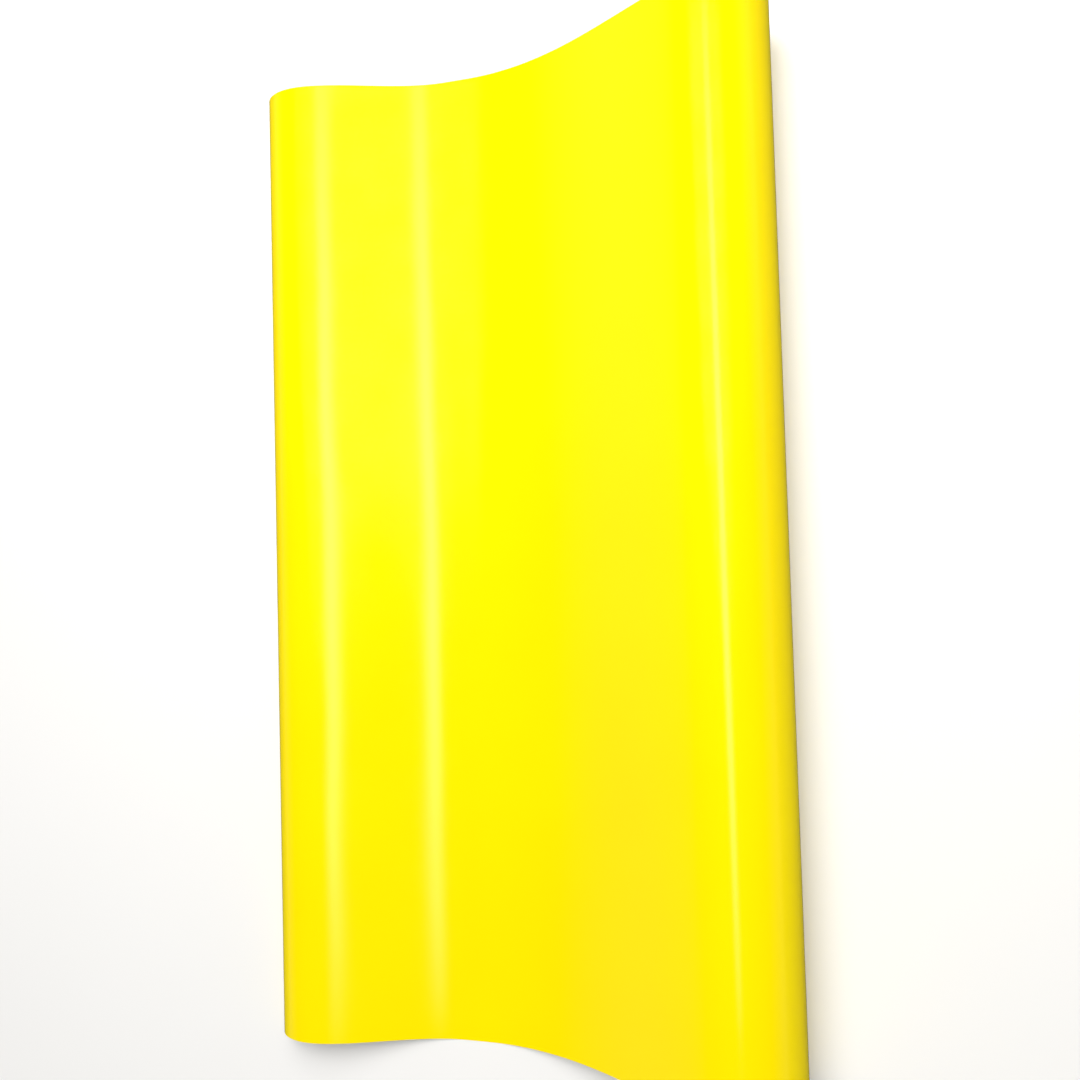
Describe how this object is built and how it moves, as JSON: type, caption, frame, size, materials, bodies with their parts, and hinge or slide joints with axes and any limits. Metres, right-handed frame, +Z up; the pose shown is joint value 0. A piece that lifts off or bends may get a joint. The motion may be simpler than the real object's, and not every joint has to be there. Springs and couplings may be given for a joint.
{
  "type": "roll of sign vinyl",
  "caption": "Roll of yellow gloss vinyl film on a release liner, wound on a paperboard core, with its loose end drawn off over the table.",
  "frame": {"origin": "on the surface that the roll lies on, under the middle of the whole object's box", "axes": "+Y along the roll, +X from the loose end towards the roll, +Z up"},
  "size_m": [0.3303, 0.6112, 0.0688],
  "materials": {
    "film": "high gloss calendered film",
    "liner": "silicone-coated paper, low sheen",
    "wound_web": "gloss film face, slit edges at the ends",
    "core_board": "matt spirally wound board",
    "tape": "creped paper tape"
  },
  "bodies": {
    "web": {"vinyl_film": "film", "release_liner": "liner"},
    "roll": {"wound_turns": "wound_web", "core": "core_board", "core_start_tape": "tape"}
  },
  "joints": [
    {"name": "roll_turn", "type": "hinge", "parent": "web", "child": "roll", "pos_m": [0.13072, 0, 0.03444], "axis": [0, 1, 0], "continuous": true}
  ]
}
